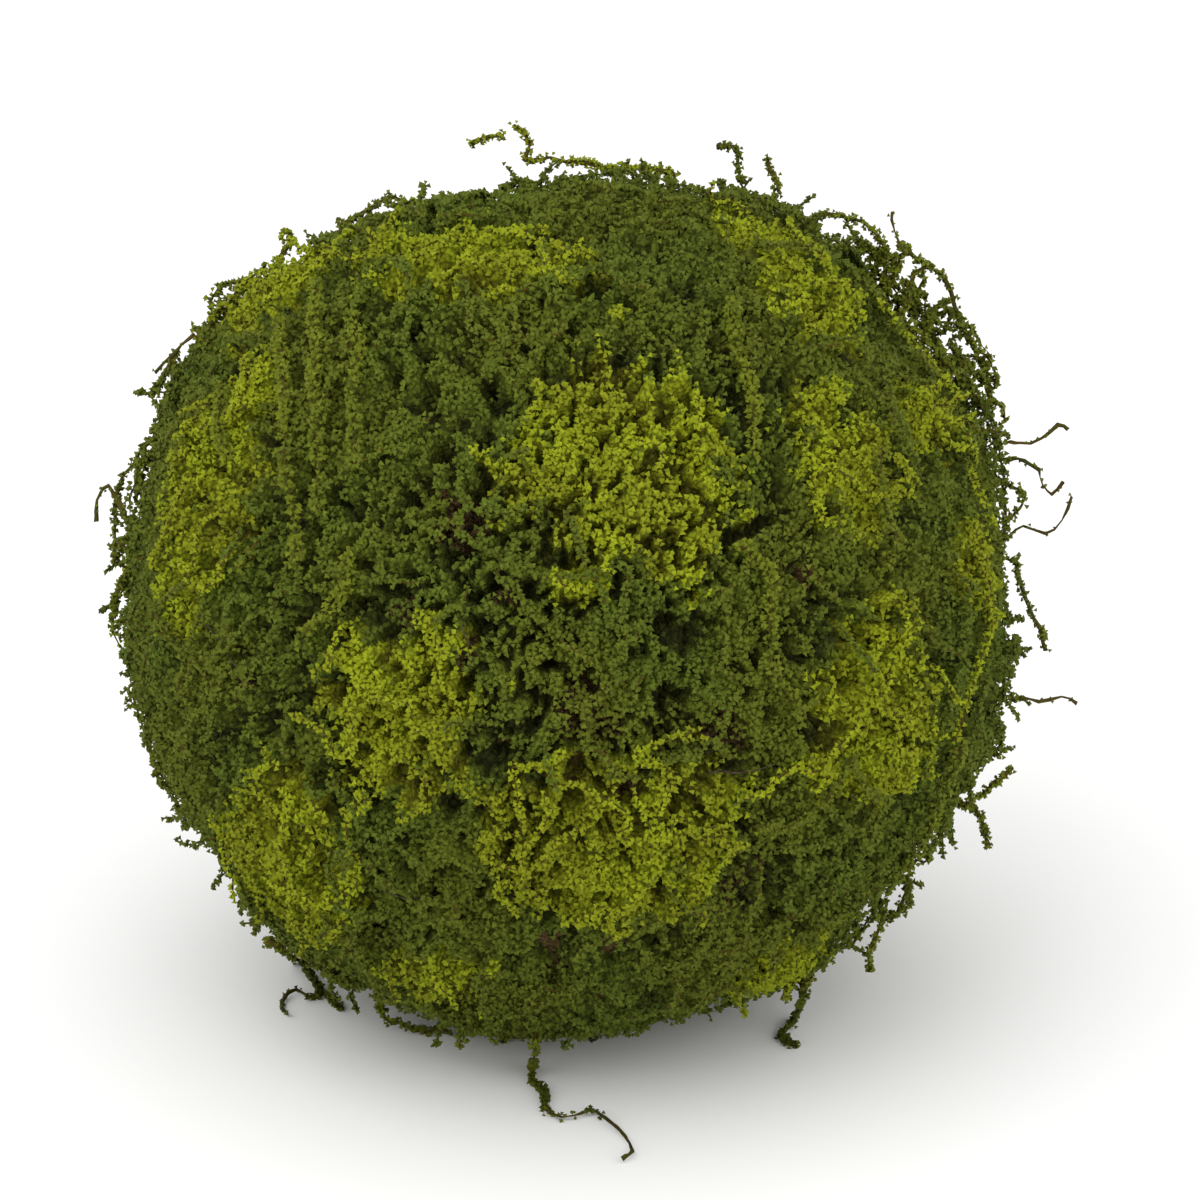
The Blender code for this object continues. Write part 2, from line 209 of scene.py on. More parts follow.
class ClumpSettings(bpy.types.PropertyGroup):
    crumb_size: length("Crumb size", "Length of one leafy crumb of the moss", 0.95 * MM)
    dark_density: plain_number(
        "Dark moss crumbs", "Crumbs of dark moss to a square millimetre, before the gaps are cleared", 3.1
    )
    light_density: plain_number(
        "Light moss crumbs", "Crumbs of light moss to a square millimetre, before the gaps are cleared", 4.0
    )
    rope_spacing: length("Rope spacing", "Distance from one rope of moss to the next", 3.3 * MM)
    gap_depth: length("Gap depth", "How far the sides of the ropes of moss go down", 3.2 * MM)
    loose_layer: length("Loose layer", "Depth over which the crumbs of one place are scattered", 0.9 * MM)
    stem_radius: length("Stem radius", "Radius of a moss stem", 0.2 * MM)
    dark_colour: colour_of("Dark moss", "Colour of the dark moss crumbs", (0.099, 0.119, 0.0095))
    light_colour: colour_of("Light moss", "Colour of the light moss crumbs", (0.24, 0.283, 0.0085))
    core_colour: colour_of("Core", "Colour of the brown fibre core", (0.068, 0.043, 0.015))
    stem_colour: colour_of("Stems", "Colour of the bare stems", (0.06, 0.062, 0.011))
    camera_elevation: bpy.props.FloatProperty(
        name="Camera elevation",
        description="Angle of the camera above the horizon",
        default=math.radians(20),
        subtype="ANGLE",
    )
    camera_lens: plain_number("Camera lens", "Focal length of the camera in millimetres", 120.0)
    view_width: length("View width", "Width that the camera sees at the middle of the clump", 202.2 * MM)


def settings():
    return bpy.context.scene.moss_clump


# Directions and the skin of the clump


def direction(azimuth, elevation):
    """Unit vector for an azimuth from the front towards +X and an elevation, in degrees."""
    azimuth, elevation = math.radians(azimuth), math.radians(elevation)
    flat = math.cos(elevation)
    return Vector((math.sin(azimuth) * flat, -math.cos(azimuth) * flat, math.sin(elevation)))


def smoothstep(low, high, value):
    share = np.clip((np.asarray(value) - low) / (high - low), 0.0, 1.0)
    return share * share * (3.0 - 2.0 * share)


def tree_of_nodes(names):
    """A search tree over the triangles of these CAD nodes, and the node that each triangle is of."""
    places, triangles, owners = [], [], []
    for name in names:
        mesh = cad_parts[name].data
        offset = len(places)
        places.extend(vertex.co for vertex in mesh.vertices)
        triangles.extend([offset + index for index in face.vertices] for face in mesh.polygons)
        owners.extend([name] * len(mesh.polygons))
    return BVHTree.FromPolygons(places, triangles), owners


def on_coat(unit, lift):
    """The point over the CAD model in this direction from the middle of the coat, lifted off it."""
    if "outside" not in made:
        made["outside"] = tree_of_nodes([MAT_NODE, CORE_NODE, *TUFT_NODES])[0]
    place = made["outside"].ray_cast(COAT_CENTRE + unit * 0.2, -unit)[0]
    return place + unit * lift


def off_rim(clock, lift, forward):
    """A point over the rim, which leans back, at these degrees round it and degrees forward of it."""
    clock, forward = math.radians(clock), math.radians(forward)
    up = Vector((0.0, math.sin(RIM_LEAN), math.cos(RIM_LEAN)))
    ahead = Vector((0.0, -math.cos(RIM_LEAN), math.sin(RIM_LEAN)))
    around = Vector((math.cos(clock), 0.0, 0.0)) + up * math.sin(clock)
    return on_coat(around * math.cos(forward) + ahead * math.sin(forward), lift * MM)


def opening_depth(unit, place):
    """1 in the middle of an opening that shows the brown core, and 0 away from them all."""
    wobble = 0.6 * noise.noise(place / (4 * MM)) + 0.5 * noise.noise(place / (2 * MM))
    nearest = min(
        math.degrees(unit.angle(direction(azimuth, elevation))) / size
        for azimuth, elevation, size in OPENINGS
    )
    return float(1.0 - smoothstep(0.4, 0.9, nearest + wobble))


class Skin:
    """The outside of the CAD model as one fine triangle mesh, with what grows at each of its points."""

    def __init__(self, level):
        shape = bmesh.new()
        bmesh.ops.create_icosphere(shape, subdivisions=level, radius=1.0)
        self.faces = np.array([[v.index for v in face.verts] for face in shape.faces])
        units = [vertex.co.normalized() for vertex in shape.verts]
        edges = np.array([[v.index for v in edge.verts] for edge in shape.edges])
        shape.free()
        radius = np.array([(on_coat(unit, 0.0) - COAT_CENTRE).length for unit in units])
        for _ in range(4):
            radius = np.maximum(radius, self.spread(radius, edges))
        self.units = np.array(units)
        self.places = np.array(COAT_CENTRE) + self.units * radius[:, None]
        tufts, owners = tree_of_nodes(TUFT_NODES)
        mat, _ = tree_of_nodes([MAT_NODE])
        self.inside, self.owner, self.opening = [], [], []
        for unit, place in zip(units, map(Vector, self.places)):
            _, _, face, to_tuft = tufts.find_nearest(place)
            to_mat = mat.find_nearest(place)[3]
            self.inside.append(to_mat - to_tuft)
            self.owner.append(owners[face])
            self.opening.append(opening_depth(unit, place))
        self.inside, self.owner = np.array(self.inside), np.array(self.owner)
        self.opening = np.array(self.opening)
        ragged = np.array([
            6.5 * noise.noise(place / (8 * MM)) + 7.5 * noise.noise(place / (3.2 * MM))
            for place in map(Vector, self.places)
        ])
        self.light = smoothstep(-0.6 * MM, 0.6 * MM, self.inside + ragged * MM)
        self.above_base = smoothstep(0.5 * MM, 5 * MM, self.places[:, 2])
        self.seen_share = 0.6 + 0.4 * smoothstep(-0.85, -0.6, self.units[:, 2])

    @staticmethod
    def spread(values, edges):
        """The mean of each point's neighbours."""
        total = np.bincount(edges[:, 0], values[edges[:, 1]], len(values))
        total += np.bincount(edges[:, 1], values[edges[:, 0]], len(values))
        count = np.bincount(edges.ravel(), minlength=len(values))
        return total / count

    def patch(self, name, weight):
        """An object of the faces where weight is over 0, with weight, opening and light as attributes."""
        kept = self.faces[(weight[self.faces] > 0.002).any(axis=1)]
        used, corners = np.unique(kept, return_inverse=True)
        mesh = bpy.data.meshes.new(name)
        mesh.from_pydata(self.places[used].tolist(), [], corners.reshape(-1, 3).tolist())
        for attribute, values in (("weight", weight), ("opening", self.opening), ("light", self.light)):
            layer = mesh.attributes.new(attribute, "FLOAT", "POINT")
            layer.data.foreach_set("value", values[used].astype(np.float32))
        return new_object(name, mesh)


def skin(level=7):
    """The skin at a level of detail, which is made once."""
    if level not in made:
        made[level] = Skin(level)
    return made[level]


# Small helpers for node trees


class Field:
    """An output of a node. Reckoning with it adds a Math node, or a Vector Math node to a vector."""

    def __init__(self, socket):
        self.socket = socket

    def reckon(self, operation, first, second):
        tree = self.socket.id_data
        if self.socket.type not in ("VECTOR", "RGBA"):
            return calculate(tree, operation, first, second)
        by_number = operation == "MULTIPLY" and not isinstance(second, tuple)
        return vector_of(tree, "SCALE" if by_number else operation, first, second)

    def __add__(self, other):
        return self.reckon("ADD", self, other)

    def __sub__(self, other):
        return self.reckon("SUBTRACT", self, other)

    def __rsub__(self, other):
        return self.reckon("SUBTRACT", other, self)

    def __mul__(self, other):
        return self.reckon("MULTIPLY", self, other)

    def __truediv__(self, other):
        return self.reckon("DIVIDE", self, other)

    def __rtruediv__(self, other):
        return self.reckon("DIVIDE", other, self)


def add_node(tree, kind, inputs=None, **values):
    """Adds a node with these properties, and with each input set to a value or linked to an output."""
    node = tree.nodes.new(kind)
    for name, value in values.items():
        setattr(node, name, value)
    for key, value in (inputs or {}).items():
        value = value.socket if isinstance(value, Field) else value
        if isinstance(value, bpy.types.NodeSocket):
            tree.links.new(value, node.inputs[key])
        else:
            node.inputs[key].default_value = value
    return node


def output(tree, kind, inputs=None, index=0, **values):
    """An output of a new node with these inputs and properties."""
    return Field(add_node(tree, kind, inputs, **values).outputs[index])


def calculate(tree, operation, first, second=0.0):
    """The output of a Math node."""
    return output(tree, "ShaderNodeMath", {0: first, 1: second}, operation=operation)


def vector_of(tree, operation, first, second=(0.0, 0.0, 0.0)):
    """The output of a Vector Math node. A scale takes a number as its second input."""
    key = 3 if operation == "SCALE" else 1
    return output(tree, "ShaderNodeVectorMath", {0: first, key: second}, operation=operation)


def remap(tree, value, from_low, from_high, to_low=0.0, to_high=1.0):
    """The value moved from one range to another, and kept inside it."""
    return output(tree, "ShaderNodeMapRange", {0: value, 1: from_low, 2: from_high, 3: to_low, 4: to_high})


def noise_texture(tree, place, scale, detail=1.0, index=0, **more):
    """A smooth noise from 0 to 1 or, at index 1, three of them as a vector."""
    inputs = {"Vector": place, "Scale": scale, "Detail": detail, **more}
    return output(tree, "ShaderNodeTexNoise", inputs, index)


def wobble(tree, place, scale, detail, size):
    """A smooth random offset, up to half this size each way."""
    return (noise_texture(tree, place, scale, detail, 1) - (0.5, 0.5, 0.5)) * size


def random_number(tree, seed, low=0.0, high=1.0):
    return output(tree, "FunctionNodeRandomValue", {2: low, 3: high, 8: seed}, 1, data_type="FLOAT")


def random_vector(tree, seed, low, high):
    inputs = {0: low, 1: high, 8: seed}
    return output(tree, "FunctionNodeRandomValue", inputs, data_type="FLOAT_VECTOR")


def jitter(tree, seed, size=1.0):
    """A random offset, up to this size each way."""
    return random_vector(tree, seed, (-size,) * 3, (size,) * 3)


def position(tree):
    return output(tree, "GeometryNodeInputPosition")


def read_attribute(tree, name):
    return output(tree, "GeometryNodeInputNamedAttribute", {0: name}, data_type="FLOAT")


def store(tree, geometry, name, value, kind="FLOAT", domain="POINT"):
    """The geometry, with this value stored as an attribute."""
    inputs = {"Geometry": geometry, "Name": name, "Value": value}
    return output(tree, "GeometryNodeStoreNamedAttribute", inputs, data_type=kind, domain=domain)


def moved(tree, geometry, offset):
    """The geometry, with each point moved by this offset."""
    return output(tree, "GeometryNodeSetPosition", {"Geometry": geometry, "Offset": offset})


def set_material(tree, geometry, material):
    return output(tree, "GeometryNodeSetMaterial", {"Geometry": geometry, "Material": material})


def scattered(tree, surface, density, share, seed):
    """Points at random on a surface: so many to a square millimetre, times a share that changes over it."""
    inputs = {"Mesh": surface, "Density": density * 1e6 * share, "Seed": seed}
    return add_node(tree, "GeometryNodeDistributePointsOnFaces", inputs, distribute_method="RANDOM").outputs


def copies(tree, points, shape, turn, size):
    """The shape on each point, turned and scaled, with the instances realized."""
    inputs = {"Points": points, "Instance": shape, "Rotation": turn, "Scale": size}
    placed = output(tree, "GeometryNodeInstanceOnPoints", inputs)
    return output(tree, "GeometryNodeRealizeInstances", {0: placed})


def new_tree(name, numbers, materials=("Material",)):
    """A Geometry Nodes tree with a geometry in and out, and these numbers and materials as inputs."""
    tree = bpy.data.node_groups.new(name, "GeometryNodeTree")
    tree.interface.new_socket("Geometry", in_out="INPUT", socket_type="NodeSocketGeometry")
    for label, default in numbers.items():
        kind = "NodeSocketInt" if isinstance(default, int) else "NodeSocketFloat"
        tree.interface.new_socket(label, in_out="INPUT", socket_type=kind).default_value = default
    for label in materials:
        tree.interface.new_socket(label, in_out="INPUT", socket_type="NodeSocketMaterial")
    tree.interface.new_socket("Geometry", in_out="OUTPUT", socket_type="NodeSocketGeometry")
    source = tree.nodes.new("NodeGroupInput")
    return tree, {socket.name: Field(socket) for socket in source.outputs if socket.name}


def finish_tree(tree, geometry):
    """Ends a tree, after it has moved what would reach below the base up to it."""
    parts = add_node(tree, "ShaderNodeSeparateXYZ", {0: position(tree)}).outputs
    height = calculate(tree, "MAXIMUM", parts[2], 0.0)
    above = output(tree, "ShaderNodeCombineXYZ", {0: parts[0], 1: parts[1], 2: height})
    raised = output(tree, "GeometryNodeSetPosition", {"Geometry": geometry, "Position": above})
    add_node(tree, "NodeGroupOutput", {0: raised})
    return tree


def settle(obj):
    """Turns an object and its modifiers into a plain mesh."""
    graph = bpy.context.evaluated_depsgraph_get()
    mesh = bpy.data.meshes.new_from_object(obj.evaluated_get(graph), depsgraph=graph)
    obj.modifiers.clear()
    old, obj.data = obj.data, mesh
    bpy.data.meshes.remove(old)
    mesh.name = obj.name


def soften(mesh):
    """Turns the shading of the crumbs part of the way outwards, because thin leaves pass light on."""
    own = np.empty(len(mesh.vertices) * 3, np.float32)
    mesh.vertex_normals.foreach_get("vector", own)
    places = np.empty(len(mesh.vertices) * 3, np.float32)
    mesh.vertices.foreach_get("co", places)
    outward = places.reshape(-1, 3) - np.array(COAT_CENTRE)
    outward /= np.linalg.norm(outward, axis=1, keepdims=True)
    mixed = own.reshape(-1, 3) * (1.0 - LEAF_SOFTNESS) + outward * LEAF_SOFTNESS
    mixed /= np.maximum(np.linalg.norm(mixed, axis=1, keepdims=True), 1e-6)
    mesh.normals_split_custom_set_from_vertices(mixed)


def grow(obj, tree, values, leafy=True):
    """Runs a tree on the object with these inputs, and leaves the result in it as a plain mesh."""
    modifier = obj.modifiers.new(tree.name, "NODES")
    modifier.node_group = tree
    items = tree.interface.items_tree
    sockets = {item.name: item.identifier for item in items if item.in_out == "INPUT"}
    for label, value in values.items():
        modifier[sockets[label]] = value
    settle(obj)
    if leafy:
        soften(obj.data)


# Node trees of the moss


def map_to_cells(tree, geometry, index, cells):
    """Gives each face a small triangle in this cell, by number, of a bake map with so many cells a side."""
    column = calculate(tree, "MODULO", index, cells)
    row = calculate(tree, "FLOOR", index / cells)
    corner = calculate(tree, "MODULO", output(tree, "GeometryNodeInputIndex"), 3.0)
    right, top = (calculate(tree, "COMPARE", corner, number) * 0.6 for number in (1.0, 2.0))
    across = (column + 0.2 + right) / cells
    along = (row + 0.2 + top) / cells
    place = output(tree, "ShaderNodeCombineXYZ", {0: across, 1: along})
    return store(tree, geometry, BAKE_MAP, place, "FLOAT2", "CORNER")


def add_crumbs(tree, points, given, seed):
    """Sets a crumb on each point, a small tetrahedron turned at random, with a cell of the bake map."""
    numbered = store(tree, points, "crumb", output(tree, "GeometryNodeInputIndex"))
    tinted = store(tree, numbered, "tint", random_number(tree, seed + 1))
    spin = output(tree, "FunctionNodeEulerToRotation", {0: jitter(tree, seed + 2, math.pi)})
    size = random_vector(tree, seed + 3, (0.7, 0.7, 0.7), (1.2, 1.2, 1.3)) * given["Crumb size"]
    cone = {"Vertices": 3, "Radius Top": 0.0, "Radius Bottom": 0.55, "Depth": 0.8}
    crumb = output(tree, "GeometryNodeMeshCone", cone, fill_type="NGON")
    crumb = output(tree, "GeometryNodeTransform", {"Geometry": crumb, "Translation": (0.0, 0.0, -0.2)})
    crumb = output(tree, "GeometryNodeSetShadeSmooth", {"Geometry": crumb})
    crumbs = copies(tree, tinted, crumb, spin, size)
    mapped = map_to_cells(tree, crumbs, read_attribute(tree, "crumb"), given["Bake cells"])
    return set_material(tree, mapped, given["Material"])


def rope_height(tree, spacing):
    """Height of the moss, from 0 in a gap to 1 on top of a rope of moss. The ropes cross in a loose net."""
    place = position(tree)
    place = (place + wobble(tree, place, 160.0, 0.0, 6.0 * MM)) * (1.0, 1.0, 0.65)
    width = remap(tree, noise_texture(tree, place, 70.0), 0.38, 0.62, 0.05, 0.14)
    ridges = []
    for shift, scale in (((0.0, 0.0, 0.0), 1.0), ((0.31, 0.07, 0.13), 1.3)):
        field = noise_texture(tree, place + shift, scale / spacing, 0.0)
        ridges.append(1.0 - calculate(tree, "ABSOLUTE", field - 0.5) / width)
    height = calculate(tree, "MAXIMUM", calculate(tree, "MAXIMUM", *ridges), 0.0)
    return calculate(tree, "MINIMUM", height, 1.0)


def broad_ridges(tree):
    """Height of the big folds of the moss, from 0 in a valley to 1 along a crest."""
    place = position(tree) * (1.0, 1.0, 0.7)
    away = calculate(tree, "ABSOLUTE", noise_texture(tree, place, 105.0) - 0.5)
    return remap(tree, away, 0.16, 0.02)


def small_pits(tree):
    """1 in a small deep hole between the ropes of moss and 0 elsewhere. The holes stand in groups."""
    place = position(tree)
    radius = remap(tree, noise_texture(tree, place, 55.0), 0.36, 0.6, 0.28, 0.6)
    place = (place + wobble(tree, place, 380.0, 1.0, 3.5 * MM)) * (1.0, 1.0, 0.75)
    near = output(tree, "ShaderNodeTexVoronoi", {"Vector": place, "Scale": 225.0}, "Distance")
    return remap(tree, near / radius, 1.0, 0.5)


def relief(tree, geometry, given):
    """Stores the height of the moss at each point, how far down its top lies and how well it is lit."""
    geometry = store(tree, geometry, "height", rope_height(tree, given["Rope spacing"]))
    geometry = store(tree, geometry, "ridge", broad_ridges(tree))
    geometry = store(tree, geometry, "pit", small_pits(tree))
    height, ridge, pit = (read_attribute(tree, name) for name in ("height", "ridge", "pit"))
    side = 1.0 - height
    round_top = calculate(tree, "SQRT", 1.0 - side * side)
    down = (1.0 - round_top) * given["Gap depth"] + (1.0 - ridge) * given["Valley depth"]
    geometry = store(tree, geometry, "down", down + pit * given["Pit depth"])
    # Painted shade: the level is lower in valleys, down the sides of the ropes and in pits, and darkens the
    # moss colour there
    lit = remap(tree, ridge, 0.0, 1.0, 0.62, 1.0) * round_top * (1.0 - pit)
    return store(tree, geometry, "level", lit)


def outward_at(tree, place):
    """The direction from the middle of the coat to this place."""
    return vector_of(tree, "NORMALIZE", place - tuple(COAT_CENTRE))


def inward_by(tree, depth):
    """A move of each point by this depth towards the middle of the coat."""
    return outward_at(tree, position(tree)) * (depth * -1.0)


def bed_tree():
    """The matted bed that the crumbs stand on: the skin, pushed in to the relief of the moss."""
    tree, given = new_tree(
        "Moss bed", {**RELIEF, "Opening depth": 2.0 * MM, "Depth": 0.5 * MM, "Roughness": 0.9 * MM}
    )
    finer = output(tree, "GeometryNodeSubdivideMesh", {"Mesh": given["Geometry"], "Level": 1})
    folded = relief(tree, finer, given)
    dip = read_attribute(tree, "opening") * given["Opening depth"]
    lumps = (noise_texture(tree, position(tree), 700.0) - 0.5) * given["Roughness"]
    down = given["Depth"] + dip + lumps + read_attribute(tree, "down")
    pushed = moved(tree, folded, inward_by(tree, down * read_attribute(tree, "weight")))
    smooth = output(tree, "GeometryNodeSetShadeSmooth", {"Geometry": pushed})
    real = output(tree, "GeometryNodeRealizeInstances", {0: set_material(tree, smooth, given["Material"])})
    return finish_tree(tree, real)


def crumb_coat_tree():
    """Crumbs scattered over a patch of skin, high on the ropes of moss and few in the gaps between them."""
    tree, given = new_tree(
        "Crumb coat",
        {
            **RELIEF,
            "Density": 2.0,
            "Crumb size": 1.0 * MM,
            "Loose layer": 1.0 * MM,
            "Rise": 0.0,
            "Bare openings": 0.45,
            "Bake cells": 200.0,
            "Seed": 1,
        },
    )
    weight = read_attribute(tree, "weight")
    scatter = scattered(tree, given["Geometry"], given["Density"], weight, given["Seed"])
    points = relief(tree, scatter["Points"], given)
    wanted = remap(tree, read_attribute(tree, "height"), 0.0, 0.4, 0.15, 1.0)
    wanted = wanted * (1.0 - read_attribute(tree, "pit"))
    wanted = wanted * (1.0 - read_attribute(tree, "opening") * given["Bare openings"])
    unwanted = calculate(tree, "GREATER_THAN", random_number(tree, 10), wanted)
    inputs = {"Geometry": points, "Selection": unwanted}
    points = output(tree, "GeometryNodeDeleteGeometry", inputs, domain="POINT")
    sunk = calculate(tree, "POWER", random_number(tree, 11), 1.4)
    down = read_attribute(tree, "down") + sunk * given["Loose layer"] - given["Rise"]
    points = moved(tree, points, inward_by(tree, down) + jitter(tree, 12, 0.25 * MM))
    return finish_tree(tree, add_crumbs(tree, points, given, 20))


def finish_leafy(tree, stems, points, given, seeds, least_level):
    """Ends a tree with its bare stems and with crumbs strewn about the points along them."""
    spread_seed, level_seed, crumb_seed = seeds
    cells = given["Bake cells"]
    # Stems and crumbs get a level too, which darkens them a little through the painted shade ramp; the
    # crumbs' levels are random
    for name, value in (("tint", 0.5), ("level", 0.7)):
        stems = store(tree, stems, name, value)
    stems = map_to_cells(tree, stems, cells * cells - 1.0, cells)
    stems = set_material(tree, stems, given["Stem material"])
    points = moved(tree, points, jitter(tree, spread_seed) * given["Spread"])
    points = store(tree, points, "level", random_number(tree, level_seed, least_level, 1.0))
    crumbs = add_crumbs(tree, points, given, crumb_seed)
    both = tree.nodes.new("GeometryNodeJoinGeometry")
    for piece in (stems, crumbs):
        tree.links.new(piece.socket, both.inputs[0])
    return finish_tree(tree, both.outputs[0])


def string_tree():
    """Curly stems that lie over the moss or stand off it, each with crumbs along it."""
    tree, given = new_tree(
        "Moss strings",
        {
            "Density": 0.004,
            "Length": 24.0 * MM,
            "Lift": 0.5 * MM,
            "Arch": 0.0,
            "Wander": 6.0 * MM,
            "Crumbs to a millimetre": 4.0,
            "Spread": 0.7 * MM,
            "Crumb size": 1.0 * MM,
            "Stem radius": 0.25 * MM,
            "Bake cells": 200.0,
            "Seed": 1,
        },
        ("Material", "Stem material"),
    )
    weight = read_attribute(tree, "weight")
    scatter = scattered(tree, given["Geometry"], given["Density"], weight, given["Seed"])
    heading = jitter(tree, 31, 1.2) + output(tree, "ShaderNodeCombineXYZ", {2: -1.0})
    align = "FunctionNodeAlignRotationToVector"
    upright = output(tree, align, {"Vector": scatter["Normal"]}, axis="Z")
    turned = output(tree, align, {"Rotation": upright, "Vector": heading}, axis="X", pivot_axis="Z")
    line = output(tree, "GeometryNodeCurvePrimitiveLine", {0: (-0.5, 0.0, 0.0), 1: (0.5, 0.0, 0.0)})
    line = output(tree, "GeometryNodeResampleCurve", {"Curve": line, "Count": 22})
    reach = given["Length"] * random_number(tree, 32, 0.45, 1.3)
    size = output(tree, "ShaderNodeCombineXYZ", {0: reach, 1: reach, 2: reach})
    lines = copies(tree, scatter["Points"], line, turned, size)
    place = position(tree)
    sway = wobble(tree, place, 120.0, 1.0, given["Wander"] * 3.0)
    curl = wobble(tree, place, 420.0, 1.0, given["Wander"])
    swayed = moved(tree, lines, sway + curl)
    nearest = output(tree, "GeometryNodeProximity", {0: given["Geometry"]}, target_element="FACES")
    along = output(tree, "GeometryNodeSplineParameter")
    arch = calculate(tree, "POWER", along, 1.5) * given["Arch"]
    bob = (noise_texture(tree, nearest, 260.0, 0.0) - 0.5) * (3.0 * MM)
    resting = nearest + outward_at(tree, nearest) * (given["Lift"] + arch + bob)
    laid = output(tree, "GeometryNodeSetPosition", {"Geometry": swayed, "Position": resting})
    inputs = {"Resolution": 3, "Radius": given["Stem radius"]}
    ring = output(tree, "GeometryNodeCurvePrimitiveCircle", inputs)
    inputs = {"Curve": laid, "Profile Curve": ring, "Fill Caps": True}
    stems = output(tree, "GeometryNodeCurveToMesh", inputs)
    gap = MM / given["Crumbs to a millimetre"]
    points = output(tree, "GeometryNodeCurveToPoints", {"Curve": laid, 2: gap}, mode="LENGTH")
    return finish_leafy(tree, stems, points, given, (33, 34, 40), 0.75)


def strand_tree():
    """A strand: its stem, shrunk and made crooked, with crumbs around it."""
    tree, given = new_tree(
        "Leafy strand",
        {
            "Crumbs": 2.0,
            "Spread": 0.3 * MM,
            "Crumb size": 1.0 * MM,
            "Thinner by": 0.3 * MM,
            "Crook": 0.8 * MM,
            "Bake cells": 40.0,
            "Seed": 1,
        },
        ("Material", "Stem material"),
    )
    place = position(tree)
    bend = wobble(tree, place, 330.0, 1.0, given["Crook"] * 2.0)
    bare = read_attribute(tree, "bare")
    thinner = bare * (0.12 * MM) + given["Thinner by"]
    normal = output(tree, "GeometryNodeInputNormal")
    stem = moved(tree, given["Geometry"], bend + normal * (thinner * -1.0))
    clumping = remap(tree, noise_texture(tree, place, 420.0, 0.0), 0.42, 0.6, 0.35, 1.0)
    scatter = scattered(tree, stem, given["Crumbs"], clumping * (1.0 - bare), given["Seed"])
    return finish_leafy(tree, stem, scatter["Points"], given, (51, 52, 60), 0.7)


# Materials


def object_place(tree):
    return output(tree, "ShaderNodeTexCoord", index="Object")


def attribute_value(tree, name):
    return output(tree, "ShaderNodeAttribute", index="Fac", attribute_name=name)


def ramp(tree, value, stops):
    """A colour ramp over (position, colour) stops."""
    node = add_node(tree, "ShaderNodeValToRGB", {0: value})
    while len(node.color_ramp.elements) < len(stops):
        node.color_ramp.elements.new(0.5)
    for element, (place, colour) in zip(node.color_ramp.elements, stops):
        element.position = place
        element.color = (*colour, 1.0)
    return Field(node.outputs[0])


def mix_colours(tree, share, first, second, blend="MIX"):
    """The colour output of a Mix node."""
    inputs = {0: share, 6: first, 7: second}
    return output(tree, "ShaderNodeMix", inputs, 2, data_type="RGBA", blend_type=blend)


def bump(tree, strength, distance, height):
    return output(tree, "ShaderNodeBump", {"Strength": strength, "Distance": distance, "Height": height})


def scaled(colour, *amounts):
    """The colour times one amount, or times one for each channel."""
    return tuple(channel * amount for channel, amount in zip(colour, amounts * (3 // len(amounts))))


def new_material(name, roughness, shine=0.12):
    """A matte material, its node tree and its shader."""
    material = bpy.data.materials.new(name)
    material.use_nodes = True
    shader = material.node_tree.nodes["Principled BSDF"]
    shader.inputs["Roughness"].default_value = roughness
    shader.inputs["Specular IOR Level"].default_value = shine
    return material, material.node_tree, shader


def feed(node, inputs):
    """Links inputs of a node to these outputs."""
    for name, value in inputs.items():
        node.id_data.links.new(getattr(value, "socket", value), node.inputs[name])


def patchy_group():
    """A shader group: moss in patches of two shades, speckled, with painted shade low down between the
    ropes and in pits.
    """
    if "Patchy moss" in bpy.data.node_groups:
        return bpy.data.node_groups["Patchy moss"]
    tree = bpy.data.node_groups.new("Patchy moss", "ShaderNodeTree")
    for label, way, kind in (
        ("Colour", "INPUT", "NodeSocketColor"),
        ("Second", "INPUT", "NodeSocketColor"),
        ("Patch size", "INPUT", "NodeSocketFloat"),
        ("Tint", "INPUT", "NodeSocketFloat"),
        ("Colour", "OUTPUT", "NodeSocketColor"),
        ("Roughness", "OUTPUT", "NodeSocketFloat"),
    ):
        tree.interface.new_socket(label, in_out=way, socket_type=kind)
    given = tree.nodes.new("NodeGroupInput").outputs
    place = object_place(tree)
    broad = remap(tree, noise_texture(tree, place, given["Patch size"], 3.0), 0.42, 0.6)
    colour = mix_colours(tree, broad, given["Colour"], given["Second"])
    # The level gives painted shade; the cluster noise and the tint vary the tone at random
    for value, stops in (
        (attribute_value(tree, "level"), PAINTED_DEPTH_SHADE),
        (noise_texture(tree, place, 420.0, 2.0), CLUSTER_SHADES),
        (given["Tint"], CRUMB_SHADES),
    ):
        colour = mix_colours(tree, 1.0, colour, ramp(tree, value, stops), "MULTIPLY")
    roughness = remap(tree, given["Tint"], 0.0, 1.0, 0.95, 0.75)
    feed(tree.nodes.new("NodeGroupOutput"), {"Colour": colour, "Roughness": roughness})
    return tree


def patchy_moss(tree, colour, second, patch_size, tint):
    """The outputs of the patchy moss group with these two shades."""
    inputs = {"Colour": (*colour, 1.0), "Second": (*second, 1.0), "Patch size": patch_size, "Tint": tint}
    return add_node(tree, "ShaderNodeGroup", inputs, node_tree=patchy_group()).outputs


def moss_material(name, colour, second, patch_size, shine=0.12):
    """Crumbs or stems of moss in two shades."""
    if name in bpy.data.materials:
        return bpy.data.materials[name]
    material, tree, shader = new_material(name, 0.85, shine)
    moss = patchy_moss(tree, colour, second, patch_size, attribute_value(tree, "tint"))
    feed(shader, {"Base Color": moss["Colour"], "Roughness": moss["Roughness"]})
    return material


def dark_shades():
    colour = settings().dark_colour
    return colour, scaled(colour, 0.84, 0.95, 1.05), 55.0


def light_shades():
    colour = settings().light_colour
    return colour, scaled(colour, 0.82, 0.78, 1.0), 90.0


def dark_moss():
    return moss_material("dark_moss_crumbs", *dark_shades())


